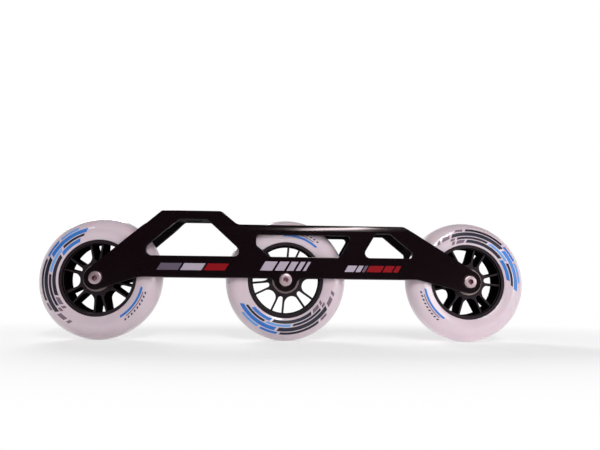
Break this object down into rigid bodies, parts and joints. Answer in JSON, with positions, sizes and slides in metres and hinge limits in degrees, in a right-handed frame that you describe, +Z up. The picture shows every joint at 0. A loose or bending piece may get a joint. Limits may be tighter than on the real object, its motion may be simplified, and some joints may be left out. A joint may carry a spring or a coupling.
{
  "type": "inline skate frame",
  "caption": "Inline skate frame: a milled black channel with a raised heel platform and side windows, carrying large white wheels in line on ball bearings and axle bolts.",
  "frame": {"origin": "on the ground under the middle axle, in the middle plane of the wheels", "axes": "+X towards the toe, along the row of wheels; +Y to the skater's left; +Z up"},
  "size_m": [0.404, 0.0328, 0.106],
  "materials": {
    "frame_black": "gloss",
    "tyre_white": "satin",
    "core_black": "satin",
    "bolt_steel": "satin",
    "spacer_alloy": "satin",
    "bearing_steel": "gloss",
    "ball_steel": "polished",
    "cage_nylon": "matte",
    "shield_steel": "satin"
  },
  "bodies": {
    "frame": {"frame_channel": "frame_black", "rear_axle_bolt": "bolt_steel", "rear_spacer": "spacer_alloy", "rear_right_inner_race": "bearing_steel", "rear_left_inner_race": "bearing_steel", "middle_axle_bolt": "bolt_steel", "middle_spacer": "spacer_alloy", "middle_right_inner_race": "bearing_steel", "middle_left_inner_race": "bearing_steel", "front_axle_bolt": "bolt_steel", "front_spacer": "spacer_alloy", "front_right_inner_race": "bearing_steel", "front_left_inner_race": "bearing_steel"},
    "rear_wheel": {"rear_tyre": "tyre_white", "rear_core": "core_black", "rear_right_outer_race": "bearing_steel", "rear_right_shields": "shield_steel", "rear_left_outer_race": "bearing_steel", "rear_left_shields": "shield_steel"},
    "rear_ball_train": {"rear_right_balls": "ball_steel", "rear_right_cage": "cage_nylon", "rear_left_balls": "ball_steel", "rear_left_cage": "cage_nylon"},
    "middle_wheel": {"middle_tyre": "tyre_white", "middle_core": "core_black", "middle_right_outer_race": "bearing_steel", "middle_right_shields": "shield_steel", "middle_left_outer_race": "bearing_steel", "middle_left_shields": "shield_steel"},
    "middle_ball_train": {"middle_right_balls": "ball_steel", "middle_right_cage": "cage_nylon", "middle_left_balls": "ball_steel", "middle_left_cage": "cage_nylon"},
    "front_wheel": {"front_tyre": "tyre_white", "front_core": "core_black", "front_right_outer_race": "bearing_steel", "front_right_shields": "shield_steel", "front_left_outer_race": "bearing_steel", "front_left_shields": "shield_steel"},
    "front_ball_train": {"front_right_balls": "ball_steel", "front_right_cage": "cage_nylon", "front_left_balls": "ball_steel", "front_left_cage": "cage_nylon"}
  },
  "joints": [
    {"name": "rear_wheel_spin", "type": "hinge", "parent": "frame", "child": "rear_wheel", "pos_m": [-0.152, 0, 0.05], "axis": [0, 1, 0], "continuous": true},
    {"name": "rear_ball_orbit", "type": "hinge", "parent": "frame", "child": "rear_ball_train", "pos_m": [-0.152, 0, 0.05], "axis": [0, 1, 0], "continuous": true},
    {"name": "middle_wheel_spin", "type": "hinge", "parent": "frame", "child": "middle_wheel", "pos_m": [0, 0, 0.05], "axis": [0, 1, 0], "continuous": true},
    {"name": "middle_ball_orbit", "type": "hinge", "parent": "frame", "child": "middle_ball_train", "pos_m": [0, 0, 0.05], "axis": [0, 1, 0], "continuous": true},
    {"name": "front_wheel_spin", "type": "hinge", "parent": "frame", "child": "front_wheel", "pos_m": [0.152, 0, 0.05], "axis": [0, 1, 0], "continuous": true},
    {"name": "front_ball_orbit", "type": "hinge", "parent": "frame", "child": "front_ball_train", "pos_m": [0.152, 0, 0.05], "axis": [0, 1, 0], "continuous": true}
  ],
  "couplings": [
    {"joint": "rear_ball_orbit", "follows": "rear_wheel_spin", "ratio": 0.632},
    {"joint": "middle_ball_orbit", "follows": "middle_wheel_spin", "ratio": 0.632},
    {"joint": "front_ball_orbit", "follows": "front_wheel_spin", "ratio": 0.632}
  ]
}
